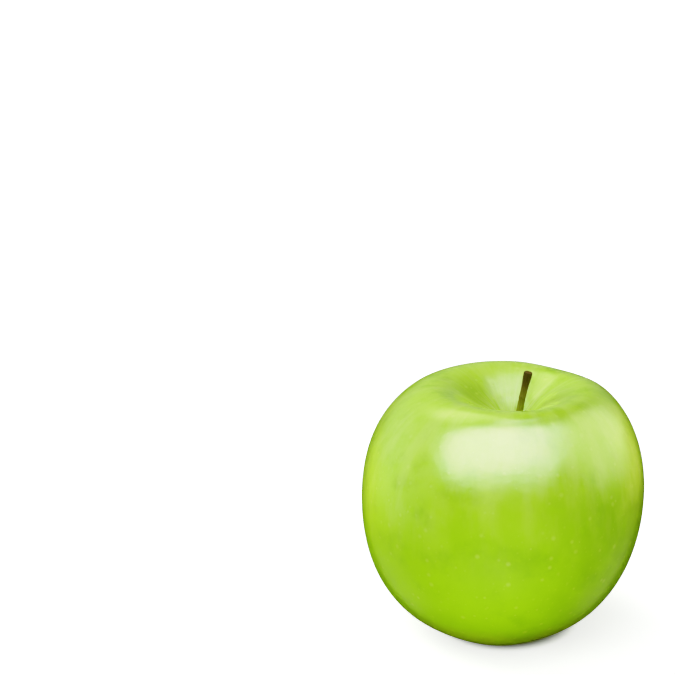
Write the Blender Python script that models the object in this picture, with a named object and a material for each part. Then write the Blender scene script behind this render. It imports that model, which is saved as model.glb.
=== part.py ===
"""A whole green apple standing on its base, with its woody stem and the dried calyx beneath it."""

import math

import bmesh
import bpy
import numpy as np

# Driving dimensions of the fruit, in metres
DIAMETER = 0.078
UPPER_HEIGHT = 0.0365  # widest ring up to the top of the dome, before the stem cavity is carved
LOWER_HEIGHT = 0.0416  # widest ring down to the bottom of the dome, before the basin is carved
CAVITY_DEPTH = 0.0125
CAVITY_RADIUS = 0.0172
FUNNEL_DEPTH = 0.0050  # narrow well at the middle of the cavity, round the stem
FUNNEL_RADIUS = 0.0055
BASIN_DEPTH = 0.0125
BASIN_RADIUS = 0.0098
FLAT_DEPTH = 0.00025  # how far the resting spots are pressed flat
CLEARANCE = 0.0003  # gap between the flesh and the pieces that grow from it

# Character of the outline: 2 is a plain ellipse, more has squarer shoulders
UPPER_FULLNESS = 2.22
LOWER_FULLNESS = 2.18
CAVITY_STEEPNESS = 2.7
FUNNEL_STEEPNESS = 2.2

# Natural unevenness: each is a share of the radius or the height, with the azimuth where it is greatest
OVAL, OVAL_AZIMUTH = 0.016, math.radians(110)
THREE_SIDES, THREE_SIDES_AZIMUTH = 0.021, math.radians(-4)
BASE_LOBES, BASE_LOBES_AZIMUTH = 0.007, math.radians(54)
LEAN_X, LEAN_Y = 0.028, 0.033
SHOULDER_TILT_X, SHOULDER_TILT_Y = -0.002, -0.020
CAVITY_SHIFT = 0.0041  # the cavity lies off the middle, towards +X

# The base is drawn up between its lobes; ring and spread are shares of the fruit's radius
LOBES = 5
LOBE_RISE = 0.0004
LOBE_RING, LOBE_SPREAD = 0.43, 0.26

# A shallow dent in the crown; ring and spread are shares of the fruit's radius
CROWN_DENT, CROWN_DENT_AZIMUTH, CROWN_DENT_WIDTH = 0.0008, math.radians(50), math.radians(26)
CROWN_RING, CROWN_SPREAD = 0.56, 0.24

# Soft radial folds in the wall of the cavity, one wide and three narrow; shares are of its radius
FOLD_DEPTH, FOLD_AZIMUTH = 0.0009, math.radians(168)
NARROW_FOLDS, NARROW_FOLD_SHARE = 3, 0.8
FOLD_RING, FOLD_SPREAD = 0.60, 0.34

# Mesh fineness
AZIMUTHS = 75
RINGS = 49
FINE_STEPS = 1600
BASE_ZONE, AXIS_ZONE = 0.1, 0.2  # shares of half the height and of the radius where the rings lie closer
EXTRA_CLOSENESS = 1.3

# Stem
STEM_LENGTH = 0.0138
STEM_RADIUS = 0.00095
STEM_TIP_RADIUS = 0.00122
STEM_FOOT_RADIUS = 0.00140
STEM_REACH_X = 0.0030  # how far the tip stands towards +X of the foot
STEM_REACH_Y = 0.0006
STEM_BEND = 1.15  # 1 is straight, more bends over towards the tip
STEM_FLARE, STEM_KNOB = 0.10, 0.16  # how much of the length the flared foot and the knobbed tip take
STEM_SIDES = 12
STEM_RINGS = 16

# Calyx: a small crown of five dried sepals
CALYX_LENGTH = 0.0042
CALYX_NECK_RADIUS = 0.0022
CALYX_BELLY_RADIUS = 0.0038
CALYX_RIM_RADIUS = 0.0026
CALYX_WALL = 0.0006
CALYX_NOTCH = 0.0017  # depth of the notches between the sepals
CALYX_HOLLOW = 0.30  # depth that the closed middle of the crown has, as a share of its length
SEPALS = 5
SEPAL_BLUNTNESS = 0.7  # 1 has pointed sepals, less has blunter ones
CALYX_AZIMUTHS = 50

RADIUS = DIAMETER / 2
CARVED_SHARE = 0.91  # what the cavity and the basin leave of the two domes' height
MIDDLE_HEIGHT = CARVED_SHARE * (UPPER_HEIGHT + LOWER_HEIGHT) / 2


def bump(value, middle, spread):
    """A smooth bump that is 1 at the middle and fades away over the spread."""
    return np.exp(-(((value - middle) / spread) ** 2))


def dome_height(radius, height, fullness):
    """Height of a superellipse dome over a point at this radius."""
    share = np.clip(1 - (radius / RADIUS) ** fullness, 0, 1)
    return height * share ** (1 / fullness)


def cavity_drop(radius):
    """How far the stem cavity lies below the dome."""
    dish = CAVITY_DEPTH * np.exp(-((radius / CAVITY_RADIUS) ** CAVITY_STEEPNESS))
    funnel = FUNNEL_DEPTH * np.exp(-((radius / FUNNEL_RADIUS) ** FUNNEL_STEEPNESS))
    return dish + funnel


def basin_rise(radius):
    """How far the basin lies above the dome at the base."""
    return BASIN_DEPTH * np.exp(-((radius / BASIN_RADIUS) ** 2))


def dome_radius(angle, fullness):
    """Radius of the superellipse dome at an angle from the axis."""
    return RADIUS * np.abs(np.sin(angle)) ** (2 / fullness)


def meridian(rings):
    """Radius and height of points from the cavity's floor to the basin's roof.

    The points lie evenly along the carved outline, closer together in the cavity and at the base.
    """
    angle = np.linspace(0, math.pi, FINE_STEPS)
    upper = angle < math.pi / 2
    radius = np.where(upper, dome_radius(angle, UPPER_FULLNESS), dome_radius(angle, LOWER_FULLNESS))
    top = dome_height(radius, UPPER_HEIGHT, UPPER_FULLNESS) - cavity_drop(radius)
    bottom = basin_rise(radius) - dome_height(radius, LOWER_HEIGHT, LOWER_FULLNESS)
    height = np.where(upper, top, bottom)
    base = height.min()
    height = height - base - FLAT_DEPTH
    steps = np.hypot(np.diff(radius), np.diff(height))
    at_base = bump(height[1:], 0, BASE_ZONE * MIDDLE_HEIGHT)
    at_axis = bump(radius[1:], 0, AXIS_ZONE * RADIUS)
    closeness = 1 + EXTRA_CLOSENESS * (at_base + at_axis)
    travel = np.concatenate([[0], np.cumsum(steps * closeness)])
    places = np.linspace(0, travel[-1], rings)
    ring_radius = np.interp(places, travel, radius)
    ring_height = np.interp(places, travel, height)
    widest = travel[np.argmax(radius)]
    return ring_radius, ring_height, places < widest


def place(radius, height, upper, azimuth):
    """Points of the skin with the fruit's natural unevenness, before it is centred."""
    share = np.clip(height / (2 * MIDDLE_HEIGHT), 0, 1)
    lobe_angle = LOBES * (azimuth - BASE_LOBES_AZIMUTH)
    girth = (
        1
        + OVAL * np.cos(2 * (azimuth - OVAL_AZIMUTH))
        + THREE_SIDES * share * np.cos(3 * (azimuth - THREE_SIDES_AZIMUTH))
        + BASE_LOBES * (1 - share) ** 2 * np.cos(lobe_angle)
    )
    inwards = np.where(upper, 1 - (radius / RADIUS) ** 2, 0)
    x = radius * girth * np.cos(azimuth) + LEAN_X * (height - MIDDLE_HEIGHT) + CAVITY_SHIFT * inwards**2
    y = radius * girth * np.sin(azimuth) + LEAN_Y * (height - MIDDLE_HEIGHT)

    between_lobes = (1 - np.cos(lobe_angle)) / 2
    near_base = np.where(upper, 0, bump(radius, LOBE_RING * RADIUS, LOBE_SPREAD * RADIUS))
    near_crown = inwards / (1 - CROWN_RING**2) * bump(radius, CROWN_RING * RADIUS, CROWN_SPREAD * RADIUS)
    from_dent = np.remainder(azimuth - CROWN_DENT_AZIMUTH + math.pi, 2 * math.pi) - math.pi
    dent = CROWN_DENT * bump(from_dent, 0, CROWN_DENT_WIDTH) * near_crown
    in_cavity = np.where(upper, bump(radius, FOLD_RING * CAVITY_RADIUS, FOLD_SPREAD * CAVITY_RADIUS), 0)
    from_fold = azimuth - FOLD_AZIMUTH
    waves = np.cos(from_fold) + NARROW_FOLD_SHARE * np.cos(NARROW_FOLDS * from_fold)
    fold = FOLD_DEPTH * waves * in_cavity
    tilt = 1 + share * (SHOULDER_TILT_X * x + SHOULDER_TILT_Y * y) / RADIUS
    z = height * tilt - dent - fold + LOBE_RISE * between_lobes * near_base
    return x, y, np.maximum(z, 0)


def skin_grid():
    """The skin's points, ring by ring, with the origin under the middle of its box."""
    radius, height, upper = meridian(RINGS)
    azimuth = np.arange(AZIMUTHS) * 2 * math.pi / AZIMUTHS
    x, y, z = place(radius[:, None], height[:, None], upper[:, None], azimuth[None, :])
    middle_x = (x.min() + x.max()) / 2
    middle_y = (y.min() + y.max()) / 2
    return np.stack([x - middle_x, y - middle_y, z], axis=-1)


def lofted_mesh(name, rings, first=None, last=None):
    """A closed mesh through rings of points, each end closed by a fan to its own middle or given point."""
    mesh = bmesh.new()
    loops = [[mesh.verts.new(point) for point in ring] for ring in rings]
    count = len(loops[0])
    for above, below in zip(loops, loops[1:]):
        for i in range(count):
            j = (i + 1) % count
            mesh.faces.new((above[i], below[i], below[j], above[j]))
    for loop, point, step in ((loops[0], first, 1), (loops[-1], last, -1)):
        middle = mesh.verts.new(np.mean([v.co for v in loop], axis=0) if point is None else point)
        for i in range(count):
            j = (i + 1) % count
            mesh.faces.new((middle, loop[i], loop[j]) if step > 0 else (middle, loop[j], loop[i]))
    bmesh.ops.triangulate(mesh, faces=mesh.faces[:])
    bmesh.ops.recalc_face_normals(mesh, faces=mesh.faces[:])
    data = bpy.data.meshes.new(name)
    mesh.to_mesh(data)
    mesh.free()
    data.shade_smooth()
    return data


def add_piece(name, data, material):
    """One named object of the fruit in the scene."""
    piece = bpy.data.objects.new(name, data)
    data.materials.append(material)
    bpy.context.scene.collection.objects.link(piece)
    return piece


def finish(name, colour, roughness):
    """A plain Principled material; none of the fruit is metal."""
    material = bpy.data.materials.new(name)
    material.use_nodes = True
    shader = material.node_tree.nodes["Principled BSDF"]
    shader.inputs["Base Color"].default_value = (*colour, 1)
    shader.inputs["Roughness"].default_value = roughness
    shader.inputs["Metallic"].default_value = 0
    return material


def skin_material():
    return finish("skin", (0.36, 0.60, 0.05), 0.28)


def stem_material():
    return finish("stem", (0.10, 0.065, 0.015), 0.70)


def calyx_material():
    return finish("calyx", (0.13, 0.10, 0.045), 0.85)


def build_body(grid):
    """The flesh and skin in one closed solid."""
    floor_of_cavity = grid[0].mean(axis=0)
    roof_of_basin = grid[-1].mean(axis=0)
    data = lofted_mesh("apple_body", grid[1:-1], floor_of_cavity, roof_of_basin)
    return add_piece("apple_body", data, skin_material())


def stem_radius(share):
    """Half thickness of the stem: a flared foot, a slim middle and a knobbed tip."""
    foot = (STEM_FOOT_RADIUS - STEM_RADIUS) * bump(share, 0, STEM_FLARE)
    tip = (STEM_TIP_RADIUS - STEM_RADIUS) * bump(share, 1, STEM_KNOB)
    return STEM_RADIUS + foot + tip


def stem_centre(foot, share):
    """Middle of the stem, which leaves the cavity upright and bends towards +X."""
    bend = max(share, 0) ** STEM_BEND
    return foot + np.array([STEM_REACH_X * bend, STEM_REACH_Y * share, STEM_LENGTH * share])


def skin_level(rings, radius, pick):
    """Height of the skin at a small radius from the axis, read from the quarter of the rings next to it."""
    middle = rings[0].mean(axis=0)
    near = rings[: RINGS // 4]
    reach = [np.hypot(ring[:, 0] - middle[0], ring[:, 1] - middle[1]).mean() for ring in near]
    return np.interp(radius, reach, [pick(ring[:, 2]) for ring in near])


def build_stem(grid):
    """The stem as a bent tapered rod whose foot stands just clear of the cavity's floor."""
    middle = grid[0].mean(axis=0)
    level = skin_level(grid, STEM_FOOT_RADIUS + CLEARANCE, np.max)
    foot = np.array([middle[0], middle[1], level + CLEARANCE])
    rings = []
    for step in range(STEM_RINGS):
        share = step / (STEM_RINGS - 1)
        centre = stem_centre(foot, share)
        ahead = stem_centre(foot, min(share + 0.01, 1.01)) - stem_centre(foot, share - 0.01)
        ahead /= np.linalg.norm(ahead)
        side = np.cross([0, 1, 0], ahead)
        side /= np.linalg.norm(side)
        across = np.cross(ahead, side)
        radius = stem_radius(share)
        turn = [2 * math.pi * i / STEM_SIDES for i in range(STEM_SIDES)]
        ring = [centre + radius * (math.cos(a) * side + math.sin(a) * across) for a in turn]
        if step == 0:
            ring = [np.array([point[0], point[1], foot[2]]) for point in ring]
        rings.append(ring)
    return add_piece("apple_stem", lofted_mesh("apple_stem", rings), stem_material())


def calyx_profile(sepal):
    """Radius and depth down the outside, round the rim and up the inside, at a sepal's fullness 0 to 1."""
    length = CALYX_LENGTH - CALYX_NOTCH * (1 - sepal)
    hollow = CALYX_HOLLOW * CALYX_LENGTH
    shoulder = (CALYX_NECK_RADIUS + CALYX_BELLY_RADIUS) / 2
    drawn_in = (CALYX_BELLY_RADIUS + CALYX_RIM_RADIUS) / 2
    return [
        (CALYX_NECK_RADIUS, 0.0),
        (shoulder, 0.14 * length),
        (CALYX_BELLY_RADIUS, 0.40 * length),
        (drawn_in, 0.78 * length),
        (CALYX_RIM_RADIUS, length),
        (CALYX_RIM_RADIUS - CALYX_WALL, 0.97 * length),
        (0.55 * CALYX_BELLY_RADIUS, 0.62 * length),
        (0.45 * CALYX_BELLY_RADIUS, hollow),
        (0.18 * CALYX_BELLY_RADIUS, 0.75 * hollow),
    ]


def build_calyx(grid):
    """The crown of dried sepals, hanging in the basin clear of the floor and of the flesh."""
    roof = grid[-1].mean(axis=0)
    top = skin_level(grid[::-1], CALYX_NECK_RADIUS + CLEARANCE, np.min) - CLEARANCE
    azimuth = [2 * math.pi * i / CALYX_AZIMUTHS for i in range(CALYX_AZIMUTHS)]
    sepal = [abs(math.cos(SEPALS * a / 2)) ** SEPAL_BLUNTNESS for a in azimuth]
    columns = [calyx_profile(s) for s in sepal]
    rings = []
    for level in range(len(columns[0])):
        ring = []
        for a, column in zip(azimuth, columns):
            radius, depth = column[level]
            ring.append((roof[0] + radius * math.cos(a), roof[1] + radius * math.sin(a), top - depth))
        rings.append(ring)
    return add_piece("apple_calyx", lofted_mesh("apple_calyx", rings), calyx_material())


def main():
    for old in list(bpy.data.objects):
        bpy.data.objects.remove(old, do_unlink=True)
    grid = skin_grid()
    build_body(grid)
    build_stem(grid)
    build_calyx(grid)


main()
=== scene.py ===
"""A whole green apple on a pale floor: the finished skin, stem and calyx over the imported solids."""
import math

import bpy
import numpy as np
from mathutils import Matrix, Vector, noise


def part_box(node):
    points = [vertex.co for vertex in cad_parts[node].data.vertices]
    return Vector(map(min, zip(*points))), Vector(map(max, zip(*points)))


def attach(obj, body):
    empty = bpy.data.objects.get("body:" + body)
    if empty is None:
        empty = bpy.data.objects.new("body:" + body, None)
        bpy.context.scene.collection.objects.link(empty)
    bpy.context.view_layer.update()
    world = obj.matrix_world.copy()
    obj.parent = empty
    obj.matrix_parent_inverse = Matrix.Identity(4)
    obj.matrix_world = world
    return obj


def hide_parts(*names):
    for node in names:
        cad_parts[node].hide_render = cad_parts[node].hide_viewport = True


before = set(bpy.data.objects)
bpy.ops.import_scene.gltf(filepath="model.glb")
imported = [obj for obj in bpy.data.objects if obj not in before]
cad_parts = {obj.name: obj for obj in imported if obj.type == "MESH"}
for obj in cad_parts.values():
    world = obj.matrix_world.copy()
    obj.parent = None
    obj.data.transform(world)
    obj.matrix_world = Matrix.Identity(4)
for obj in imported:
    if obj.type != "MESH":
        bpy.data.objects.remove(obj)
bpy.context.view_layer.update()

# The fruit's form, the same named sizes as its solid, in metres
RADIUS = 0.039
UPPER_HEIGHT, UPPER_FULLNESS = 0.0365, 2.22
LOWER_HEIGHT, LOWER_FULLNESS = 0.0416, 2.18
CAVITY_DEPTH, CAVITY_RADIUS, CAVITY_STEEPNESS = 0.0125, 0.0172, 2.7
FUNNEL_DEPTH, FUNNEL_RADIUS, FUNNEL_STEEPNESS = 0.0050, 0.0055, 2.2
BASIN_DEPTH, BASIN_RADIUS = 0.0125, 0.0098
FLAT_DEPTH = 0.00025
CAVITY_SHIFT = 0.0041
MIDDLE_HEIGHT = 0.91 * (UPPER_HEIGHT + LOWER_HEIGHT) / 2

# Its natural unevenness; rings and spreads are shares of the radius that they belong to
OVAL, OVAL_AZIMUTH = 0.016, math.radians(110)
THREE_SIDES, THREE_SIDES_AZIMUTH = 0.021, math.radians(-4)
BASE_LOBES, BASE_LOBES_AZIMUTH = 0.007, math.radians(54)
LEAN_X, LEAN_Y = 0.028, 0.033
SHOULDER_TILT_X, SHOULDER_TILT_Y = -0.002, -0.020
LOBES, LOBE_RISE, LOBE_RING, LOBE_SPREAD = 5, 0.0004, 0.43, 0.26
CROWN_DENT, CROWN_DENT_AZIMUTH, CROWN_DENT_WIDTH = 0.0008, math.radians(50), math.radians(26)
CROWN_RING, CROWN_SPREAD = 0.56, 0.24
FOLD_DEPTH, FOLD_AZIMUTH, FOLD_RING, FOLD_SPREAD = 0.0009, math.radians(168), 0.60, 0.34
NARROW_FOLDS, NARROW_FOLD_SHARE = 3, 0.8

# Fineness of the skin: its rings stand closer together near the stem and the calyx
SKIN_RINGS, SKIN_AZIMUTHS, FINE_STEPS = 210, 288, 4000
EXTRA_CLOSENESS, CLOSE_SPREAD = 1.2, 0.2

# The relief that the solid leaves out; each kind of lump has its depth, its size and a place in the noise
LUMPS = ((0.00020, 0.019, 3.1), (0.00003, 0.0065, 7.7))
CAVITY_WRINKLES, WRINKLE_COUNT, WRINKLE_RING, WRINKLE_SPREAD = 0.00004, 11, 0.0046, 0.0026
BASIN_PUCKERS, PUCKER_COUNT, PUCKER_RING, PUCKER_SPREAD = 0.00040, 10, 0.0058, 0.0030
WANDER = ((0.5, 2, 0), (0.7, 3, 1))  # how wrinkles and puckers stray sideways: how far, count, start
RELIEF_STARTS = 0.0008  # lower than this the skin keeps the smooth flats that it stands on

# How far the streaks' pattern is stretched along the height, and how far its middle follows the stem
WRAP_HEIGHT, WRAP_FOLLOWS = 0.40, 0.5

# The stem; scars and ridges stand out by a share of its radius
STEM_RADIUS, STEM_TIP_RADIUS, STEM_FOOT_RADIUS = 0.00090, 0.00114, 0.00135
STEM_BEND = 1.15
STEM_RINGS, STEM_SIDES = 150, 60
STEM_ROOT = 0.0009  # how far the visible foot runs down into the flesh
FLARE_REACH = 0.10
KNOB_HEIGHT, KNOB_REACH = 0.97, 0.15
LEVEL_FOOT = 0.25  # the rings are level at the foot and fully tilted above this share of the height
STEM_RIDGES = ((5, 2.5, 0, 0.05), (9, -4, 1, 0.03))  # count, twist, start, how far out
STEM_SCARS = ((0.52, 0.030, 4.4, 0.16), (0.74, 0.025, 1.2, 0.12))  # height, reach, azimuth, how far out
SCAR_WIDTH = 0.3
KNOTS, KNOTS_AROUND, KNOTS_ALONG = 0.07, 2.2, 9
# Rings that close the cut tip: share of the width, rise as a share of the radius, how much cut wood shows
CUT_RINGS = (
    (0.93, 0.10, 0.2), (0.82, 0.14, 0.6), (0.66, 0.11, 1), (0.48, 0.04, 1), (0.30, 0.00, 1), (0.14, -0.02, 1),
)

# The withered sepals
SEPALS, SEPAL_STEPS, SEPAL_SIDES = 5, 26, 12
SEPAL_NECK, SEPAL_BELLY, SEPAL_HALF_THICKNESS = 0.0020, 0.0017, 0.00013
SEPAL_ROOT, SEPAL_FULLNESS, SEPAL_CURL = 0.22, 0.8, 0.10
SEPAL_CREASE, SEPAL_CUP = 0.35, 0.25
SEPAL_CRIMP, SEPAL_CRINKLE = 0.0002, 0.00012
SEPAL_WIDTHS, SEPAL_LEANS = (0.0016, 0.0019), (0.0008, 0.0022)
SEPAL_LENGTHS, SEPAL_SHIFTS = (0.86, 0.99), (-0.12, 0.12)

# The dried stamens
STAMENS, STAMEN_SIDES, STAMEN_STEPS = 16, 6, 10
STAMEN_RADIUS, STAMEN_BOW = 0.00010, (0.0002, 0.0001, 0)
STAMEN_KNOB, STAMEN_KNOB_HEIGHT, STAMEN_KNOB_REACH, STAMEN_END = 1.6, 0.9, 0.10, 0.35
STAMEN_STARTS, STAMEN_SPREADS = (0.0005, 0.0011), (-0.0003, 0.0005)
STAMEN_LENGTHS, STAMEN_SHIFTS = (0.45, 0.75), (-0.15, 0.15)
CALYX_DRAW = 5

# The photograph's view: its size and the fruit's place in it, in pixels
PHOTO_SIZE = 675
FRUIT_X, FRUIT_Y = 501.9, 501.3
FOCAL_PIXELS = 1985
SENSOR_WIDTH = 36.0
CAMERA_DISTANCE, CAMERA_ELEVATION = 0.55, math.radians(24)
LOOK_AT = Vector((0, 0, 0.034))


def srgb(red, green, blue):
    """A linear colour with alpha from 0 to 255 display values."""
    shown = (red, green, blue)
    linear = [((c / 255 + 0.055) / 1.055) ** 2.4 if c > 10 else c / 255 / 12.92 for c in shown]
    return (*linear, 1.0)


# Shape of the fruit

def bump(value, middle, spread):
    """A smooth bump that is 1 at the middle and fades away over the spread."""
    return np.exp(-(((value - middle) / spread) ** 2))


def dome_height(radius, height, fullness):
    share = np.clip(1 - (radius / RADIUS) ** fullness, 0, 1)
    return height * share ** (1 / fullness)


def meridian():
    """Radius, height and side (upper or not) of points from the cavity's floor to the basin's roof."""
    angle = np.linspace(0, math.pi, FINE_STEPS)
    upper = angle < math.pi / 2
    sine = np.abs(np.sin(angle))
    radius = RADIUS * np.where(upper, sine ** (2 / UPPER_FULLNESS), sine ** (2 / LOWER_FULLNESS))
    dish = CAVITY_DEPTH * np.exp(-((radius / CAVITY_RADIUS) ** CAVITY_STEEPNESS))
    funnel = FUNNEL_DEPTH * np.exp(-((radius / FUNNEL_RADIUS) ** FUNNEL_STEEPNESS))
    basin = BASIN_DEPTH * bump(radius, 0, BASIN_RADIUS)
    top = dome_height(radius, UPPER_HEIGHT, UPPER_FULLNESS) - dish - funnel
    bottom = basin - dome_height(radius, LOWER_HEIGHT, LOWER_FULLNESS)
    height = np.where(upper, top, bottom)
    height = height - height.min() - FLAT_DEPTH
    closeness = 1 + EXTRA_CLOSENESS * bump(radius[1:], 0, CLOSE_SPREAD * RADIUS)
    travel = np.concatenate([[0], np.cumsum(np.hypot(np.diff(radius), np.diff(height)) * closeness)])
    places = np.linspace(0, travel[-1], SKIN_RINGS)
    widest = travel[np.argmax(radius)]
    return np.interp(places, travel, radius), np.interp(places, travel, height), places < widest


def uneven_skin(radius, height, upper, azimuth):
    """Points of the skin with the fruit's natural unevenness."""
    share = np.clip(height / (2 * MIDDLE_HEIGHT), 0, 1)
    lobe_angle = LOBES * (azimuth - BASE_LOBES_AZIMUTH)
    girth = (
        1
        + OVAL * np.cos(2 * (azimuth - OVAL_AZIMUTH))
        + THREE_SIDES * share * np.cos(3 * (azimuth - THREE_SIDES_AZIMUTH))
        + BASE_LOBES * (1 - share) ** 2 * np.cos(lobe_angle)
    )
    inwards = np.where(upper, 1 - (radius / RADIUS) ** 2, 0)
    x = radius * girth * np.cos(azimuth) + LEAN_X * (height - MIDDLE_HEIGHT) + CAVITY_SHIFT * inwards**2
    y = radius * girth * np.sin(azimuth) + LEAN_Y * (height - MIDDLE_HEIGHT)

    between_lobes = (1 - np.cos(lobe_angle)) / 2
    near_base = np.where(upper, 0, bump(radius, LOBE_RING * RADIUS, LOBE_SPREAD * RADIUS))
    near_crown = inwards / (1 - CROWN_RING**2) * bump(radius, CROWN_RING * RADIUS, CROWN_SPREAD * RADIUS)
    from_dent = np.remainder(azimuth - CROWN_DENT_AZIMUTH + math.pi, 2 * math.pi) - math.pi
    dent = CROWN_DENT * bump(from_dent, 0, CROWN_DENT_WIDTH) * near_crown
    in_cavity = np.where(upper, bump(radius, FOLD_RING * CAVITY_RADIUS, FOLD_SPREAD * CAVITY_RADIUS), 0)
    from_fold = azimuth - FOLD_AZIMUTH
    waves = np.cos(from_fold) + NARROW_FOLD_SHARE * np.cos(NARROW_FOLDS * from_fold)
    fold = FOLD_DEPTH * waves * in_cavity
    tilt = 1 + share * (SHOULDER_TILT_X * x + SHOULDER_TILT_Y * y) / RADIUS
    z = height * tilt - dent - fold + LOBE_RISE * between_lobes * near_base
    return np.stack([x, y, np.maximum(z, 0)], axis=-1)


def fine_relief(points, radius, upper, azimuth):
    """How far the skin stands out or in: soft lumps, wrinkles round the stem and puckers round the calyx."""
    relief = np.zeros(points.shape[:2])
    for depth, size, start in LUMPS:
        offset = Vector((start, start, start))
        flat = points.reshape(-1, 3) / size
        relief += depth * np.array([noise.noise(Vector(p) + offset) for p in flat]).reshape(relief.shape)
    wander = sum(stray * np.sin(count * azimuth + start) for stray, count, start in WANDER)
    wrinkle = np.cos(WRINKLE_COUNT * azimuth + wander) * bump(radius, WRINKLE_RING, WRINKLE_SPREAD) * upper
    pucker = np.cos(PUCKER_COUNT * azimuth + wander) * bump(radius, PUCKER_RING, PUCKER_SPREAD) * (1 - upper)
    return relief + CAVITY_WRINKLES * wrinkle + BASIN_PUCKERS * pucker


def outward(points):
    """Unit directions out of the skin at each point of the grid."""
    along = np.gradient(points, axis=0)
    around = np.roll(points, -1, axis=1) - np.roll(points, 1, axis=1)
    normal = np.cross(along, around)
    length = np.linalg.norm(normal, axis=-1, keepdims=True)
    return normal / np.maximum(length, 1e-12)


def smooth_mesh(name, points, faces):
    data = bpy.data.meshes.new(name)
    data.from_pydata(points.tolist(), [], faces)
    data.shade_smooth()
    data.update()
    return data


def loft_faces(count, sides):
    """Faces of a closed tube: its rings of points come first, then one point at each end."""
    i = np.arange(sides)
    j = (i + 1) % sides
    faces = []
    for ring in range(count - 1):
        above, below = ring * sides, (ring + 1) * sides
        faces += np.stack([above + i, below + i, below + j, above + j], axis=1).tolist()
    top, bottom = count * sides, count * sides + 1
    end = (count - 1) * sides
    faces += [[top, a, b] for a, b in zip(i.tolist(), j.tolist())]
    faces += [[bottom, end + b, end + a] for a, b in zip(i.tolist(), j.tolist())]
    return faces


def lofted_mesh(name, rings, first, last):
    """A closed smooth mesh through rings of points, each end closed by a fan to a point."""
    points = np.concatenate([rings.reshape(-1, 3), [first, last]])
    return smooth_mesh(name, points, loft_faces(*rings.shape[:2]))


def add_values(data, name, values):
    """A number or a vector at each vertex, for the materials to read."""
    values = np.asarray(values, dtype=np.float32)
    kind, field = ("FLOAT_VECTOR", "vector") if values.ndim == 2 else ("FLOAT", "value")
    data.attributes.new(name, kind, "POINT").data.foreach_set(field, values.ravel())


def add_piece(name, data, material, node):
    """A finished piece in the scene, standing for a node of the solid model."""
    piece = bpy.data.objects.new(name, data)
    bpy.context.scene.collection.objects.link(piece)
    data.materials.append(material)
    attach(piece, "root")
    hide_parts(node)
    return piece


def skin_points(low, high):
    """The grid of the finished skin, fitted to the box of its solid."""
    radius, height, upper = meridian()
    azimuth = np.arange(SKIN_AZIMUTHS) * 2 * math.pi / SKIN_AZIMUTHS
    radius, azimuth = np.meshgrid(radius, azimuth, indexing="ij")
    height, upper = height[:, None] + 0 * radius, upper[:, None] & (radius >= 0)
    points = uneven_skin(radius, height, upper, azimuth)
    has_relief = points[..., 2:] > RELIEF_STARTS
    points = points + outward(points) * fine_relief(points, radius, upper, azimuth)[..., None] * has_relief
    lowest, highest = points.min(axis=(0, 1)), points.max(axis=(0, 1))
    return low + (points - lowest) * (high - low) / (highest - lowest)


def build_skin():
    """The skin, with what its material needs to know at each vertex."""
    low, high = (np.array(corner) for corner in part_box("apple_body"))
    points = skin_points(low, high)
    cavity, basin = points[0].mean(axis=0), points[-1].mean(axis=0)
    data = lofted_mesh("apple_skin", points[1:-1], cavity, basin)
    vertices = np.array([v.co for v in data.vertices])
    from_stem = np.hypot(vertices[:, 0] - cavity[0], vertices[:, 1] - cavity[1])
    from_calyx = np.hypot(vertices[:, 0] - basin[0], vertices[:, 1] - basin[1])
    is_upper = vertices[:, 2] > (low[2] + high[2]) / 2
    turn = np.arctan2(vertices[:, 1], vertices[:, 0] - WRAP_FOLLOWS * cavity[0])
    wrap = [np.cos(turn) * RADIUS, np.sin(turn) * RADIUS, vertices[:, 2] * WRAP_HEIGHT]
    add_values(data, "from_stem", np.where(is_upper, from_stem, RADIUS))
    add_values(data, "from_calyx", np.where(is_upper, RADIUS, from_calyx))
    add_values(data, "rise", (vertices[:, 2] - low[2]) / (high[2] - low[2]))
    add_values(data, "wrap", np.stack(wrap, axis=1))
    return add_piece("apple_skin", data, skin_material(), "apple_body")


# Shape of the stem

def stem_rings(foot, reach):
    """Rings of points up the stem: a bent tapered twig with ridges, old scars and a knobbed tip."""
    share = np.linspace(-STEM_ROOT / reach[2], 1, STEM_RINGS)[:, None]
    turn = (np.arange(STEM_SIDES) * 2 * math.pi / STEM_SIDES)[None, :]
    flare = (STEM_FOOT_RADIUS - STEM_RADIUS) * bump(share, 0, FLARE_REACH)
    knob = (STEM_TIP_RADIUS - STEM_RADIUS) * bump(share, KNOB_HEIGHT, KNOB_REACH)
    around = [(KNOTS_AROUND * math.cos(t), KNOTS_AROUND * math.sin(t)) for t in turn[0]]
    knots = np.array([[noise.noise(Vector((*a, KNOTS_ALONG * s))) for a in around] for s in share[:, 0]])
    uneven = 1 + KNOTS * knots
    for count, twist, start, out in STEM_RIDGES:
        uneven = uneven + out * np.cos(count * turn + twist * share + start)
    for height, scar_reach, side, out in STEM_SCARS:
        facing = np.exp(-((np.cos(turn - side) - 1) ** 2) / SCAR_WIDTH)
        uneven = uneven + out * bump(share, height, scar_reach) * facing
    radius = (STEM_RADIUS + flare + knob) * uneven
    across, deep = np.cos(turn) * radius, np.sin(turn) * radius
    slope = reach[0] / reach[2]
    level = np.sqrt(1 + slope**2)
    x = foot[0] + reach[0] * np.maximum(share, 0) ** STEM_BEND + across / level
    y = foot[1] + reach[1] * share + deep
    z = foot[2] + reach[2] * share - across * slope / level * np.clip(share / LEVEL_FOOT, 0, 1)
    return np.stack([x, y, z], axis=-1), share


def cut_tip(last_ring):
    """Rings that close the tip with a rounded rim and a slightly sunken, uneven cut face."""
    middle = last_ring.mean(axis=0)
    rings = []
    for inset, rise, _ in CUT_RINGS:
        ring = middle + (last_ring - middle) * inset
        ring[:, 2] += rise * STEM_TIP_RADIUS
        rings.append(ring)
    return np.array(rings)


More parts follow.
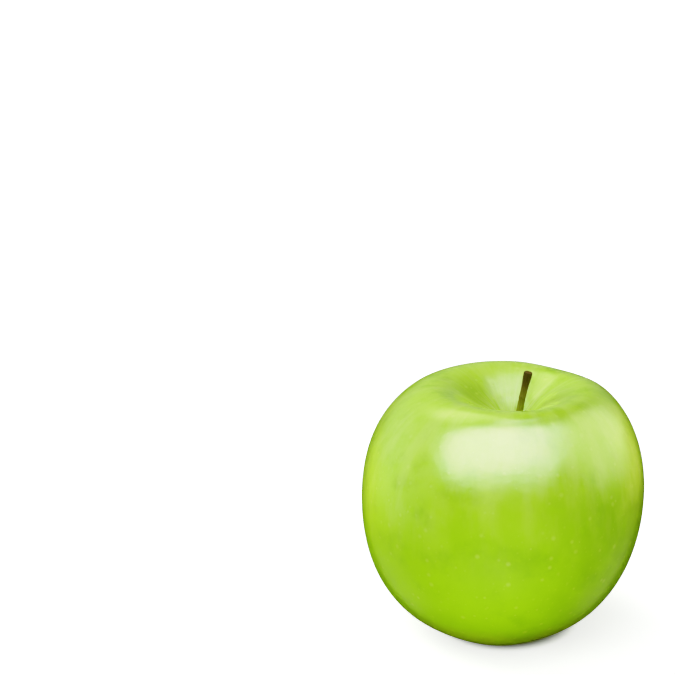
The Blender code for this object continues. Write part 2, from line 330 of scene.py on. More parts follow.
def build_stem():
    """The stem, fitted to the lean of its solid."""
    solid = np.array([v.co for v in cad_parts["apple_stem"].data.vertices])
    low, high = (np.array(corner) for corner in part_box("apple_stem"))
    share = (solid[:, 2] - low[2]) / (high[2] - low[2])
    reach_x, foot_x = np.polyfit(share**STEM_BEND, solid[:, 0], 1)
    reach_y, foot_y = np.polyfit(share, solid[:, 1], 1)
    rings, share = stem_rings((foot_x, foot_y, low[2]), (reach_x, reach_y, high[2] - low[2]))
    rings = np.concatenate([rings, cut_tip(rings[-1])])
    rings[..., 2] += min(0, high[2] - rings[..., 2].max())
    data = lofted_mesh("apple_stem_twig", rings, rings[0].mean(axis=0), rings[-1].mean(axis=0))
    flip_if_inside_out(data)
    ends = [0.0, 1.0]
    along = np.concatenate([share[:, 0], np.ones(len(CUT_RINGS))])
    cut = np.concatenate([np.zeros(STEM_RINGS), [cut_wood for _, _, cut_wood in CUT_RINGS]])
    add_values(data, "along", np.concatenate([np.repeat(along, STEM_SIDES), ends]))
    add_values(data, "cut", np.concatenate([np.repeat(cut, STEM_SIDES), ends]))
    return add_piece("apple_stem_twig", data, stem_material(), "apple_stem")


def flip_if_inside_out(data):
    """Turns the faces outwards where the rings run the other way."""
    points = np.array([v.co for v in data.vertices])
    volume = 0.0
    for face in data.polygons:
        a = points[face.vertices[0]]
        for k in range(1, len(face.vertices) - 1):
            volume += a.dot(np.cross(points[face.vertices[k]], points[face.vertices[k + 1]]))
    if volume < 0:
        data.flip_normals()


# Shape of the calyx

def sepal_points(middle, top, length, widest, azimuth, lean):
    """Both faces of one withered sepal: it leaves the neck outwards, bends in and curls at its tip."""
    along = np.linspace(0, 1, SEPAL_STEPS)[:, None]
    across = np.linspace(-1, 1, SEPAL_SIDES)[None, :]
    leaf = np.clip(SEPAL_ROOT + (1 - SEPAL_ROOT) * along, 0, 1)
    width = widest * np.maximum(np.sin(math.pi * leaf), 0) ** SEPAL_FULLNESS
    belly = SEPAL_BELLY * np.maximum(np.sin(math.pi * along**SEPAL_FULLNESS), 0)
    reach = SEPAL_NECK + belly - lean * along**3
    drop = length * along * (1 - SEPAL_CURL * along**3)
    crease = SEPAL_CREASE * width * (1 - across**2) - SEPAL_CRIMP * np.sin(9 * along + 3 * across)
    side = across * width
    outer = reach - SEPAL_CUP * width * across**2
    faces = []
    for lift in (SEPAL_HALF_THICKNESS, -SEPAL_HALF_THICKNESS):
        out = outer + lift + SEPAL_CUP * crease
        x = middle[0] + out * math.cos(azimuth) - side * math.sin(azimuth)
        y = middle[1] + out * math.sin(azimuth) + side * math.cos(azimuth)
        z = top - drop + SEPAL_CRINKLE * np.sin(5 * across + 7 * along)
        faces.append(np.stack([x, y, z], axis=-1))
    return faces


def sepal_shell(outer, inner):
    """Vertices and faces of a thin closed shell between two sheets of points."""
    steps, sides = outer.shape[:2]
    points = np.concatenate([outer.reshape(-1, 3), inner.reshape(-1, 3)])
    back = steps * sides
    faces = []
    for i in range(steps - 1):
        for j in range(sides - 1):
            a, b = i * sides + j, i * sides + j + 1
            c, d = b + sides, a + sides
            faces += [[a, b, c, d], [back + d, back + c, back + b, back + a]]
    edge = [(0, j) for j in range(sides)] + [(i, sides - 1) for i in range(1, steps)]
    edge += [(steps - 1, j) for j in range(sides - 2, -1, -1)] + [(i, 0) for i in range(steps - 2, 0, -1)]
    loop = [i * sides + j for i, j in edge]
    for a, b in zip(loop, loop[1:] + loop[:1]):
        faces.append([b, a, back + a, back + b])
    return points, faces


def stamen_tube(start, end):
    """A dried thread with a small knob at its end."""
    turn = np.arange(STAMEN_SIDES) * 2 * math.pi / STAMEN_SIDES
    circle = np.stack([np.cos(turn), np.sin(turn), 0 * turn], axis=1)
    rings = []
    for share in np.linspace(0, 1, STAMEN_STEPS):
        centre = start + (end - start) * share + np.array(STAMEN_BOW) * math.sin(math.pi * share)
        thick = STAMEN_RADIUS * (1 + STAMEN_KNOB * bump(share, STAMEN_KNOB_HEIGHT, STAMEN_KNOB_REACH))
        if share in (0, 1):
            thick *= STAMEN_END
        rings.append(centre + thick * circle)
    points = np.concatenate(rings + [start[None, :], end[None, :]])
    return points, loft_faces(STAMEN_STEPS, STAMEN_SIDES)


def joined_mesh(name, parts):
    """One mesh from lists of points and faces."""
    points, faces, start = [], [], 0
    for part_points, part_faces in parts:
        points.append(part_points)
        faces += [[start + index for index in face] for face in part_faces]
        start += len(part_points)
    return smooth_mesh(name, np.concatenate(points), faces)


def build_calyx():
    """Withered sepals round a tuft of dried stamens, both hanging from the basin's roof."""
    low, high = (np.array(corner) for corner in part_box("apple_calyx"))
    middle = (low + high) / 2
    length = high[2] - low[2]
    draw = np.random.default_rng(CALYX_DRAW)
    sepals = []
    for number in range(SEPALS):
        azimuth = 2 * math.pi * number / SEPALS + draw.uniform(*SEPAL_SHIFTS)
        reach = length * draw.uniform(*SEPAL_LENGTHS)
        width, lean = draw.uniform(*SEPAL_WIDTHS), draw.uniform(*SEPAL_LEANS)
        sepals.append(sepal_shell(*sepal_points(middle, high[2], reach, width, azimuth, lean)))
    data = joined_mesh("apple_calyx_sepals", sepals)
    add_piece("apple_calyx_sepals", data, calyx_material(), "apple_calyx")

    threads = []
    for number in range(STAMENS):
        azimuth = 2 * math.pi * number / STAMENS + draw.uniform(*STAMEN_SHIFTS)
        way = np.array([math.cos(azimuth), math.sin(azimuth), 0.0])
        start = np.array([middle[0], middle[1], high[2]]) + way * draw.uniform(*STAMEN_STARTS)
        spread = way * draw.uniform(*STAMEN_SPREADS)
        end = start + spread - np.array([0, 0, length * draw.uniform(*STAMEN_LENGTHS)])
        threads.append(stamen_tube(start, end))
    data = joined_mesh("apple_calyx_stamens", threads)
    add_piece("apple_calyx_stamens", data, stamen_material(), "apple_calyx")


# Material building blocks

def new_material(name):
    """A material with its node tree and its Principled shader."""
    material = bpy.data.materials.new(name)
    material.use_nodes = True
    tree = material.node_tree
    return material, tree, tree.nodes["Principled BSDF"]


def feed(tree, socket, value):
    """Sets a socket to a value, or links it to another node's output."""
    if isinstance(value, bpy.types.NodeSocket):
        tree.links.new(value, socket)
    else:
        socket.default_value = value


def add_node(tree, kind, inputs=None, **settings):
    """A node with its settings and its inputs, given by name or number."""
    node = tree.nodes.new(kind)
    for name, value in settings.items():
        setattr(node, name, value)
    for name, value in (inputs or {}).items():
        feed(tree, node.inputs[name], value)
    return node


def calculate(tree, operation, *values, clamp=False):
    node = add_node(tree, "ShaderNodeMath", operation=operation, use_clamp=clamp)
    for socket, value in zip(node.inputs, values):
        feed(tree, socket, value)
    return node.outputs[0]


def multiply(tree, first, second):
    return calculate(tree, "MULTIPLY", first, second)


def blend_colour(tree, share, first, second):
    """The first colour where the share is 0, and the second where it is 1."""
    node = add_node(tree, "ShaderNodeMix", {0: share, 6: first, 7: second}, data_type="RGBA")
    return node.outputs[2]


def ease(tree, value, start, end, low=0.0, high=1.0):
    """A smooth change from low to high as the value goes from start to end."""
    inputs = {"Value": value, "From Min": start, "From Max": end, "To Min": low, "To Max": high}
    return add_node(tree, "ShaderNodeMapRange", inputs, interpolation_type="SMOOTHSTEP").outputs["Result"]


def read_value(tree, name, output="Fac"):
    return add_node(tree, "ShaderNodeAttribute", attribute_name=name).outputs[output]


def grain(tree, place, size, detail=3.0, roughness=0.5):
    """Noise from 0 to 1 whose features are about this size, in metres."""
    inputs = {"Vector": place, "Scale": 1 / size, "Detail": detail, "Roughness": roughness, "Distortion": 0.0}
    return add_node(tree, "ShaderNodeTexNoise", inputs).outputs["Fac"]


def marking(tree, place, size, detail, roughness, start, full, amount):
    """How strongly a marking shows: none where its noise is at start, and all of it where it is at full."""
    return ease(tree, grain(tree, place, size, detail, roughness), start, full, 0.0, amount)


def position(tree):
    return add_node(tree, "ShaderNodeTexCoord").outputs["Object"]


def distance_from(tree, place, middle):
    node = add_node(tree, "ShaderNodeVectorMath", {0: place, 1: middle}, operation="DISTANCE")
    return node.outputs["Value"]


def relief(tree, height, depth, normal=None):
    """Bump whose full height is this deep, in metres."""
    inputs = {"Height": height, "Strength": 1.0, "Distance": depth}
    if normal is not None:
        inputs["Normal"] = normal
    return add_node(tree, "ShaderNodeBump", inputs).outputs["Normal"]


# The skin's colours
DEEP_GREEN = (0.165, 0.370, 0.002, 1)
LUSH_GREEN = (0.208, 0.440, 0.003, 1)
LIME_GREEN = (0.250, 0.524, 0.005, 1)
# Partly the skin's own yellower top and partly painted sheen: its blue stands in for the broad gloss on the
# upper half
YELLOW_SHEEN_GREEN = (0.336, 0.572, 0.042, 1)
BASE_OLIVE = (0.300, 0.430, 0.024, 1)
# Partly pale streaks of the skin, partly painted sheen: its blue stands in for the broad gloss on the upper
# half
PALE_SHEEN_GREEN = (0.46, 0.63, 0.12, 1)
LENTICEL_PALE = (0.46, 0.64, 0.10, 1)
SCARF_PALE = (0.52, 0.60, 0.20, 1)
RUSSET = (0.30, 0.27, 0.06, 1)
# Painted shade: a darker green for the dents beside the stem
HOLLOW_SHADE_GREEN = (0.205, 0.368, 0.022, 1)

# Its broad areas: where each colour starts and is full, by side or by height, moved by large soft patches
PATCHES, PATCH_STRENGTH, PATCHES_IN_RIPENESS = (0.030, 3.0, 0.55), 1.2, 0.25
# How fast the green darkens from left to right across X, partly painted shade on the right side
LIME_LEFT_SHADE_RIGHT, LIME_RANGE = 18.0, (0.10, 1.00)
# Heights where the yellow-green top, with its painted sheen, starts and is full
RIPE_AND_SHEEN_RANGE = (0.65, 1.15)
OLIVE_RANGE, OLIVE_SHARE = (0.05, 0.19), 0.8

# Its markings: size, detail and roughness of the noise, where they start, where they are full, how strong
CLOUDS = (0.0105, 4.0, 0.60, 0.48, 0.72, 0.50)
MOTTLE = (0.0042, 5.0, 0.65, 0.42, 0.70, 0.42)
STREAKS = (0.0060, 3.0, 0.55, 0.42, 0.68, 1.0)
# The pale streaks show on the upper half only, where their colour also paints sheen
STREAK_SHEEN_RISE, STREAK_SHEEN_SHARE = (0.30, 0.85), 0.28
SCARF = (0.0026, 4.0, 0.62, 0.30, 0.75, 1.0)
SCARF_REACH, SCARF_SHARE = (0.0035, 0.0170), 0.50

# Painted shade in the dents beside the stem, a darker green with ragged edges: where, how far they reach and
# how strong they are
PAINTED_HOLLOW_SHADE = (((-0.0068, 0.0068, 0.063), 0.0088, 0.83), ((0.0122, -0.0030, 0.0648), 0.0070, 0.64))
HOLLOW_CORE, RAGGED, RAGGED_BY = 0.15, (0.0042, 4.0, 0.6), 0.010

# Russet at the foot of the stem and round the calyx: its uneven edge, its reach and its strength
RUSSET_EDGE, RUSSET_UNEVEN = (0.0016, 4.0, 0.6), 0.005
STEM_RUSSET, CALYX_RUSSET = (-0.0005, 0.0025, 0.5, 0.0), (-0.0005, 0.0035, 0.6, 0.0)

# Pale dots: how far apart, their radius and the share of places that have one
LARGE_DOTS, SMALL_DOTS, SMALL_DOT_SHARE = (0.0028, 0.00048, 0.75), (0.0016, 0.00026, 0.60), 0.40
DOT_EDGE, LEAST_DOT, NO_DOTS_NEAR_STEM, DOT_SHARE = (0.30, 1.40), 0.5, (0.006, 0.012), 0.36

# Its dull under-layer, its relief and its waxy coat, which is thin beside the stem and where the dents beside
# it have painted shade
BLOOM, BLOOM_ROUGHNESS, SKIN_ROUGHNESS = (0.006, 3.0, 0.6), 0.12, 0.42
DULL_DOTS, DULL_ROUGHNESS = 0.4, 0.25
WAVES, WAVE_DEPTH = (0.0080, 2.0, 0.5), 0.00018
PORES, PORE_DEPTH = (0.0011, 3.0, 0.6), 0.000030
DOT_DEPTH, RUSSET_DEPTH = 0.00002, 0.0002
UNDER_GLOSS, WAX_ROUGHNESS = 0.06, 0.19
WAX_FROM_STEM, WAX_OFF_HOLLOWS = (0.0045, 0.0105, 0.15, 1.0), 1.2


def ground_colour(tree, place, rise):
    """Broad soft areas: brighter green at the left and darker green at the right, partly painted shade on
    that side; yellow-green on top with painted sheen in it; olive at the base.
    """
    across = add_node(tree, "ShaderNodeSeparateXYZ", {"Vector": place}).outputs["X"]
    patches = multiply(tree, grain(tree, place, *PATCHES), PATCH_STRENGTH)
    # Brighter green towards the left and darker towards the right: the patches are the skin's own, the slope
    # across X is partly painted shade
    lime_and_side_shade = calculate(tree, "SUBTRACT", patches, multiply(tree, across, LIME_LEFT_SHADE_RIGHT))
    colour = blend_colour(tree, ease(tree, lime_and_side_shade, *LIME_RANGE), LUSH_GREEN, LIME_GREEN)
    ripe_and_sheen = calculate(tree, "ADD", rise, multiply(tree, patches, PATCHES_IN_RIPENESS))
    colour = blend_colour(tree, ease(tree, ripe_and_sheen, *RIPE_AND_SHEEN_RANGE), colour, YELLOW_SHEEN_GREEN)
    return blend_colour(tree, ease(tree, rise, *OLIVE_RANGE, OLIVE_SHARE, 0.0), colour, BASE_OLIVE)


def painted_hollow_shade(tree, place, wrap):
    """How strongly the painted shade in the dents beside the stem shows."""
    centred = calculate(tree, "SUBTRACT", grain(tree, wrap, *RAGGED), 0.5)
    ragged = multiply(tree, centred, RAGGED_BY)
    hollow_shade = 0.0
    for middle, reach, amount in PAINTED_HOLLOW_SHADE:
        away = calculate(tree, "ADD", distance_from(tree, place, middle), ragged)
        hollow = ease(tree, away, HOLLOW_CORE * reach, reach, amount, 0.0)
        hollow_shade = calculate(tree, "MAXIMUM", hollow, hollow_shade)
    return hollow_shade


def russet_share(tree, place, from_stem, from_calyx):
    """How strongly the skin is russeted, at the foot of the stem and round the calyx."""
    uneven = multiply(tree, grain(tree, place, *RUSSET_EDGE), RUSSET_UNEVEN)
    at_stem = ease(tree, calculate(tree, "SUBTRACT", from_stem, uneven), *STEM_RUSSET)
    at_calyx = ease(tree, calculate(tree, "SUBTRACT", from_calyx, uneven), *CALYX_RUSSET)
    return calculate(tree, "MAXIMUM", at_stem, at_calyx)


def lenticels(tree, place, spacing, size, presence):
    """Small pale dots, about this far apart, of about this radius; presence is the share that is there."""
    dots = add_node(tree, "ShaderNodeTexVoronoi", {"Vector": place, "Scale": 1 / spacing, "Randomness": 1.0})
    chance = add_node(tree, "ShaderNodeSeparateColor", {"Color": dots.outputs["Color"]})
    away = multiply(tree, dots.outputs["Distance"], spacing)
    radius = calculate(tree, "MULTIPLY_ADD", chance.outputs["Green"], size, LEAST_DOT * size)
    dot = ease(tree, calculate(tree, "DIVIDE", away, radius), *DOT_EDGE, 1.0, 0.0)
    return multiply(tree, dot, calculate(tree, "LESS_THAN", chance.outputs["Red"], presence))


def all_lenticels(tree, place, from_stem):
    """Large dots and fainter small ones, except near the stem."""
    small_dots = multiply(tree, lenticels(tree, place, *SMALL_DOTS), SMALL_DOT_SHARE)
    dots = calculate(tree, "MAXIMUM", lenticels(tree, place, *LARGE_DOTS), small_dots)
    return multiply(tree, dots, ease(tree, from_stem, *NO_DOTS_NEAR_STEM))


def set_skin_surface(tree, shader, place, from_stem, hollow_shade, russet, dots):
    """Relief and gloss of the skin: a soft under-layer below a coat of wax."""
    bloom = multiply(tree, grain(tree, place, *BLOOM), BLOOM_ROUGHNESS)
    dull = calculate(tree, "MAXIMUM", russet, multiply(tree, dots, DULL_DOTS))
    base = calculate(tree, "ADD", bloom, SKIN_ROUGHNESS)
    feed(tree, shader.inputs["Roughness"], calculate(tree, "ADD", base, multiply(tree, dull, DULL_ROUGHNESS)))

    waves = relief(tree, grain(tree, place, *WAVES), WAVE_DEPTH)
    pores = relief(tree, grain(tree, place, *PORES), PORE_DEPTH, waves)
    dotted = relief(tree, dots, DOT_DEPTH, pores)
    feed(tree, shader.inputs["Normal"], relief(tree, russet, RUSSET_DEPTH, dotted))
    feed(tree, shader.inputs["Coat Normal"], dotted)

    shader.inputs["Specular IOR Level"].default_value = UNDER_GLOSS
    shader.inputs["Coat Roughness"].default_value = WAX_ROUGHNESS
    wax = ease(tree, from_stem, *WAX_FROM_STEM)
    wax = calculate(tree, "SUBTRACT", wax, multiply(tree, hollow_shade, WAX_OFF_HOLLOWS), clamp=True)
    feed(tree, shader.inputs["Coat Weight"], wax)


def skin_material():
    """Waxy green skin: broad areas, clouds, pale streaky marks out of the cavity with painted sheen in them,
    painted shade in the dents beside the stem, russet and pale dots.
    """
    material, tree, shader = new_material("apple_skin")
    place = position(tree)
    wrap = read_value(tree, "wrap", "Vector")
    rise = read_value(tree, "rise")
    from_stem = read_value(tree, "from_stem")
    from_calyx = read_value(tree, "from_calyx")

    sheen_streaks = multiply(tree, marking(tree, wrap, *STREAKS), ease(tree, rise, *STREAK_SHEEN_RISE))
    hollow_shade = painted_hollow_shade(tree, place, wrap)
    scarf = multiply(tree, ease(tree, from_stem, *SCARF_REACH, 1.0, 0.0), marking(tree, wrap, *SCARF))
    russet = russet_share(tree, place, from_stem, from_calyx)
    dots = all_lenticels(tree, place, from_stem)
    layers = (
        (marking(tree, place, *CLOUDS), DEEP_GREEN),
        (marking(tree, place, *MOTTLE), LIME_GREEN),
        # pale streaks, partly painted sheen
        (multiply(tree, sheen_streaks, STREAK_SHEEN_SHARE), PALE_SHEEN_GREEN),
        # painted shade in the dents beside the stem
        (hollow_shade, HOLLOW_SHADE_GREEN),
        (multiply(tree, scarf, SCARF_SHARE), SCARF_PALE),
        (russet, RUSSET),
        (multiply(tree, dots, DOT_SHARE), LENTICEL_PALE),
    )
    colour = ground_colour(tree, place, rise)
    for share, layer_colour in layers:
        colour = blend_colour(tree, share, colour, layer_colour)
    feed(tree, shader.inputs["Base Color"], colour)
    set_skin_surface(tree, shader, place, from_stem, hollow_shade, russet, dots)
    return material


# The bark's colours up the stem, then its fibres, its specks and the cut wood
BARK = (
    (0.10, srgb(142, 155, 36)),
    (0.38, srgb(115, 119, 36)),
    (0.60, srgb(98, 94, 30)),
    (0.80, srgb(72, 62, 12)),
    (1.0, srgb(50, 42, 6)),
)
FIBRE_COLOUR, SPECK_COLOUR, CUT_COLOUR = srgb(34, 27, 5), srgb(160, 136, 70), srgb(78, 54, 22)
BARK_PATCHES, BARK_PATCHINESS = (0.0018, 4.0, 0.6), 0.45
FIBRES, FIBRE_STRETCH, FIBRE_DEPTH = (0.00030, 5.0, 0.7), (1.0, 1.0, 0.12), 0.00014
FIBRE_SHARE, BARK_ROUGHNESS = (0.40, 0.75, 0.0, 0.45), (0.3, 0.8, 0.60, 0.85)
SPECKS, SPECK_SHARE, SPECK_DEPTH = (0.00035, 3.0, 0.7), (0.62, 0.78, 0.0, 0.35), 0.00005
CUT_SHARE, BARK_GLOSS = 0.5, 0.12


def stem_material():
    """Dry bark: green where it grows from the flesh, brown above, nearly black at the cut tip."""
    material, tree, shader = new_material("apple_stem")
    place = position(tree)
    centred = calculate(tree, "SUBTRACT", grain(tree, place, *BARK_PATCHES), 0.5)
    patchy = multiply(tree, centred, BARK_PATCHINESS)
    up_the_stem = calculate(tree, "ADD", read_value(tree, "along"), patchy)
    ramp = add_node(tree, "ShaderNodeValToRGB", {"Fac": up_the_stem})
    stops = ramp.color_ramp.elements
    for stop, (share, colour) in zip(stops, (BARK[0], BARK[-1])):
        stop.position, stop.color = share, colour
    for share, colour in BARK[1:-1]:
        stops.new(share).color = colour

    stretched = add_node(tree, "ShaderNodeMapping", {"Vector": place, "Scale": FIBRE_STRETCH})
    fibres = grain(tree, stretched.outputs["Vector"], *FIBRES)
    specks = grain(tree, place, *SPECKS)
    colour = blend_colour(tree, ease(tree, fibres, *FIBRE_SHARE), ramp.outputs["Color"], FIBRE_COLOUR)
    colour = blend_colour(tree, ease(tree, specks, *SPECK_SHARE), colour, SPECK_COLOUR)
    colour = blend_colour(tree, multiply(tree, read_value(tree, "cut"), CUT_SHARE), colour, CUT_COLOUR)
    feed(tree, shader.inputs["Base Color"], colour)
    feed(tree, shader.inputs["Roughness"], ease(tree, fibres, *BARK_ROUGHNESS))
    feed(tree, shader.inputs["Normal"], relief(tree, specks, SPECK_DEPTH, relief(tree, fibres, FIBRE_DEPTH)))
    shader.inputs["Specular IOR Level"].default_value = BARK_GLOSS
    return material


# The calyx: its colours, the size of its patches and veins, and how rough it is from dark to pale
SEPAL_DARK, SEPAL_PALE, VEIN_DARK = srgb(84, 70, 38), srgb(134, 118, 78), srgb(58, 44, 24)
SEPAL_PATCHES, VEINS, VEIN_DEPTH = (0.0012, 4.0, 0.65), (0.0003, 3.0, 0.7), 0.00008
SEPAL_PATCH_RANGE, VEIN_SHARE = (0.35, 0.70), (0.45, 0.7, 0.0, 0.5)
SEPAL_ROUGHNESS, SEPAL_SHEEN = (0.3, 0.7, 0.75, 0.92), 0.3
STAMEN_DARK, STAMEN_PALE = srgb(40, 28, 16), srgb(112, 92, 58)
STAMEN_PATCHES, STAMEN_ROUGHNESS = (0.0006, 3.0, 0.6), (0.3, 0.7, 0.7, 0.9)


def calyx_material():
    """Withered sepals: patchy grey-brown, veined and slightly furry."""
    material, tree, shader = new_material("apple_calyx")
    place = position(tree)
    patchy = grain(tree, place, *SEPAL_PATCHES)
    veins = grain(tree, place, *VEINS)
    colour = blend_colour(tree, ease(tree, patchy, *SEPAL_PATCH_RANGE), SEPAL_DARK, SEPAL_PALE)
    colour = blend_colour(tree, ease(tree, veins, *VEIN_SHARE), colour, VEIN_DARK)
    feed(tree, shader.inputs["Base Color"], colour)
    feed(tree, shader.inputs["Roughness"], ease(tree, patchy, *SEPAL_ROUGHNESS))
    feed(tree, shader.inputs["Normal"], relief(tree, veins, VEIN_DEPTH))
    shader.inputs["Sheen Weight"].default_value = SEPAL_SHEEN
    return material


def stamen_material():
    """Dried threads in the middle of the calyx, patchy from dark to pale brown."""
    material, tree, shader = new_material("apple_stamens")
    patchy = grain(tree, position(tree), *STAMEN_PATCHES)
    feed(tree, shader.inputs["Base Color"], blend_colour(tree, patchy, STAMEN_DARK, STAMEN_PALE))
    feed(tree, shader.inputs["Roughness"], ease(tree, patchy, *STAMEN_ROUGHNESS))
    return material


# The floor: for the camera it glows white, except in a soft shade under the fruit and a weaker one beside it
FLOOR_HALF, FLOOR_DROP = 4.0, 0.0001
FLOOR_COLOUR, FLOOR_ROUGHNESS, FLOOR_GLOW = (0.90, 0.88, 0.91, 1), 0.9, 0.88
SHADE_CENTRE, SHADE_EDGE = (0.001, -0.003, 0), (0.0155, 0.0207)
SIDE_SHADE_CENTRE, SIDE_SHADE_EDGE, SIDE_SHADE = (0.022, -0.006, 0), (0.006, 0.026), 0.17
# A patch of it in front shines on the fruit too, and lights its underside
BRIGHT_CENTRE, BRIGHT_RADIUS, BRIGHT_FLOOR = (0.0, -0.100, 0), 0.068, 3.1


def floor_material():
    material, tree, shader = new_material("floor")
    shader.inputs["Base Color"].default_value = FLOOR_COLOUR
    shader.inputs["Roughness"].default_value = FLOOR_ROUGHNESS
    shader.inputs["Specular IOR Level"].default_value = 0.0
    shader.inputs["Emission Color"].default_value = (1, 1, 1, 1)
    place = position(tree)
    in_view = add_node(tree, "ShaderNodeLightPath").outputs["Is Camera Ray"]
    shade = ease(tree, distance_from(tree, place, SHADE_CENTRE), *SHADE_EDGE, 0.0, FLOOR_GLOW)
    side = ease(tree, distance_from(tree, place, SIDE_SHADE_CENTRE), *SIDE_SHADE_EDGE, 1 - SIDE_SHADE, 1.0)
    white = multiply(tree, multiply(tree, shade, in_view), side)
    bright = ease(tree, distance_from(tree, place, BRIGHT_CENTRE), 0.0, BRIGHT_RADIUS, BRIGHT_FLOOR, 0.0)
    feed(tree, shader.inputs["Emission Strength"], calculate(tree, "ADD", white, bright))
    return material


def build_floor():
    """A plain white floor, a hair below the flats that the fruit stands on, unseen in its gloss."""
    corners = [(-1, -1), (1, -1), (1, 1), (-1, 1)]
    points = [(x * FLOOR_HALF, y * FLOOR_HALF, -FLOOR_DROP) for x, y in corners]
    data = bpy.data.meshes.new("floor")
    data.from_pydata(points, [], [(0, 1, 2, 3)])
    floor = bpy.data.objects.new("floor", data)
    bpy.context.scene.collection.objects.link(floor)
    data.materials.append(floor_material())
    floor.visible_glossy = False


# Light from all around, what the camera sees behind the floor, and the lights' tints
WORLD_DIFFUSE, WORLD_SEEN = 0.42, 2.0
LAVENDER, WARM, LEAF = (1.0, 0.86, 1.14), (1.0, 1.0, 0.64), (1.0, 1.0, 0.22)
CARD_DISTANCE = 0.80


def direction(azimuth, elevation):
    """Unit vector away from the fruit; azimuth 0 is towards the camera and 90 is towards +X, in degrees."""
    a, e = math.radians(azimuth), math.radians(elevation)
    return Vector((math.sin(a) * math.cos(e), -math.cos(a) * math.cos(e), math.sin(e)))


def soften_edges(data, edge):
    """Fades a light towards its borders, over this share of its width and height."""
    data.use_nodes = True
    tree = data.node_tree
    place = add_node(tree, "ShaderNodeNewGeometry").outputs["Parametric"]
    axes = add_node(tree, "ShaderNodeSeparateXYZ", {"Vector": place})
    fade = 1.0
    for axis in ("X", "Y"):
        from_middle = calculate(tree, "ABSOLUTE", calculate(tree, "SUBTRACT", axes.outputs[axis], 0.5))
        fade = multiply(tree, ease(tree, from_middle, 0.5 - edge, 0.5, 1.0, 0.0), fade)
    feed(tree, tree.nodes["Emission"].inputs["Strength"], fade)


def panel_light(name, azimuth, elevation, size, radiance, distance, shift=(0, 0), tint=(1, 1, 1)):
    """A rectangular light that faces the fruit, shifted in its own plane, and unseen by the camera.

    The radiance is what a mirror would show."""
    data = bpy.data.lights.new(name, "AREA")
    data.shape = "RECTANGLE"
    data.size, data.size_y = size
    data.energy = radiance * math.pi * data.size * data.size_y
    data.color = tint
    light = bpy.data.objects.new(name, data)
    bpy.context.scene.collection.objects.link(light)
    towards = direction(azimuth, elevation)
    turned = towards.to_track_quat("Z", "Y")
    light.rotation_mode = "QUATERNION"
    light.rotation_quaternion = turned
    light.location = LOOK_AT + towards * distance + turned @ Vector((*shift, 0))
    light.visible_camera = False
    light.visible_transmission = False
    return light


def gloss_card(name, azimuth, elevation, size, radiance, edge, distance=CARD_DISTANCE, **settings):
    """A soft-edged card that shows only in the gloss."""
    light = panel_light(name, azimuth, elevation, size, radiance, distance, **settings)
    soften_edges(light.data, edge)
    light.visible_diffuse = False


def fill_light(name, azimuth, elevation, size, radiance, distance):
    """A light that shapes the fruit without showing in its gloss."""
    light = panel_light(name, azimuth, elevation, size, radiance, distance)
    light.visible_glossy = False


def build_lights():
    """Soft studio light: cards make the reflections, and fills light the skin from front, left and back."""
    gloss_card("front_box", 0, 55, (2.21, 1.51), 9.8, 0.36, shift=(-0.108, 0.200), tint=LAVENDER)
    gloss_card("front_halo", 6, 60, (2.8, 2.0), 1.8, 0.45, shift=(0.08, 0.08))
    gloss_card("overhead", -157, 52, (0.56, 0.52), 3.3, 0.30, tint=WARM)
    gloss_card("back_box", 166, 70, (0.25, 0.30), 4.6, 0.30, tint=LAVENDER)
    gloss_card("window", 101, 27, (1.50, 1.25), 4.4, 0.40, tint=WARM)
    gloss_card("right_low", 124, -3, (1.05, 0.85), 1.4, 0.42, tint=LEAF)
    gloss_card("left_low", -118, -11, (1.24, 0.62), 1.0, 0.40, tint=LEAF)
    gloss_card("left_wall", -88, 6, (1.7, 1.2), 0.9, 0.45)
    gloss_card("floor_left", -112, -42, (0.80, 0.60), 0.45, 0.35, tint=WARM)
    gloss_card("floor_right", 114, -42, (0.80, 0.60), 0.45, 0.35, tint=WARM)
    gloss_card("backdrop", 180, 20, (3.6, 1.1), 0.25, 0.20, distance=1.20)
    fill_light("front_light", 12, 58, (1.2, 1.2), 2.1, 1.20)
    fill_light("low_light", -8, 14, (0.8, 0.6), 0.6, 1.20)
    fill_light("left_light", -122, 36, (0.8, 1.0), 3.7, 1.00)
    fill_light("left_rim", -132, 6, (0.6, 0.8), 4.9, 1.00)
    fill_light("right_rim", 150, 14, (0.6, 0.8), 1.8, 1.00)


def build_world():
    """Even light from all around, unseen in the gloss, and a brighter white where the camera sees it."""
    world = bpy.data.worlds.new("studio")
    bpy.context.scene.world = world
    world.use_nodes = True
    world.cycles_visibility.glossy = False
    tree = world.node_tree
    in_view = add_node(tree, "ShaderNodeLightPath").outputs["Is Camera Ray"]
    brightness = calculate(tree, "ADD", multiply(tree, in_view, WORLD_SEEN), WORLD_DIFFUSE)
    backdrop = tree.nodes["Background"]
    backdrop.inputs["Color"].default_value = (1, 1, 1, 1)
    feed(tree, backdrop.inputs["Strength"], brightness)


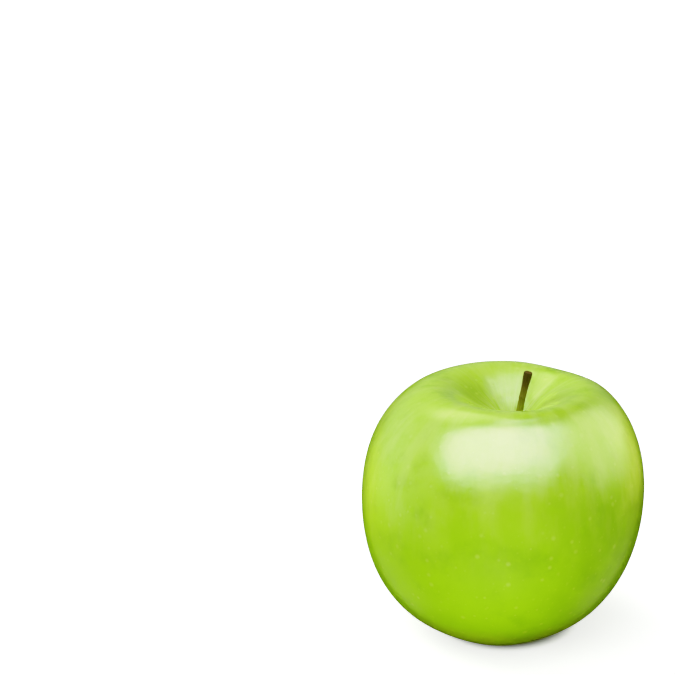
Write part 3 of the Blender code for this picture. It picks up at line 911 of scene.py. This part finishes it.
def build_camera():
    """The photograph's view, from above in front: the fruit stands low and right of the frame's middle."""
    data = bpy.data.cameras.new("camera")
    data.sensor_width = SENSOR_WIDTH
    data.lens = FOCAL_PIXELS * SENSOR_WIDTH / PHOTO_SIZE
    data.clip_start = 0.01
    data.clip_end = 50
    camera = bpy.data.objects.new("camera", data)
    bpy.context.scene.collection.objects.link(camera)
    back = direction(0, math.degrees(CAMERA_ELEVATION))
    camera.location = LOOK_AT + back * CAMERA_DISTANCE
    half = PHOTO_SIZE / 2
    to_fruit = Vector((FRUIT_X - half, half - FRUIT_Y, -FOCAL_PIXELS)).normalized()
    turn = to_fruit.rotation_difference(Vector((0, 0, -1)))
    camera.rotation_mode = "QUATERNION"
    camera.rotation_quaternion = (-back).to_track_quat("-Z", "Y") @ turn
    bpy.context.scene.camera = camera


# How bright parts of the picture are shown: straight up to a half, then rolled off towards white
HIGHLIGHT_ROLL_OFF = ((0.45, 0.45), (0.70, 0.64), (0.89, 0.765), (1.11, 0.85))
SHOWN_WHITE = 1.6
# Weak blue is shown weaker still, as the photograph's deep greens are
BLUE_TOE = ((0.03, 0.007), (0.06, 0.026), (0.10, 0.078), (0.16, 0.152), (0.25, 0.25))
BLUE_CURVE, COMBINED_CURVE = 2, 3


def shape_curve(curve, white, shape):
    """Runs a display curve from black to white through these points."""
    curve.points[0].location = (0, 0)
    curve.points[1].location = (white, 1)
    for brightness, shown in shape:
        curve.points.new(brightness, shown)
    for point in curve.points:
        point.handle_type = "AUTO_CLAMPED"


def set_display():
    settings = bpy.context.scene.view_settings
    settings.view_transform = "Standard"
    settings.use_curve_mapping = True
    mapping = settings.curve_mapping
    mapping.use_clip = False
    shape_curve(mapping.curves[COMBINED_CURVE], SHOWN_WHITE, HIGHLIGHT_ROLL_OFF)
    shape_curve(mapping.curves[BLUE_CURVE], 1, BLUE_TOE)
    mapping.update()


def main():
    set_display()
    build_skin()
    build_stem()
    build_calyx()
    build_floor()
    build_lights()
    build_world()
    build_camera()


main()
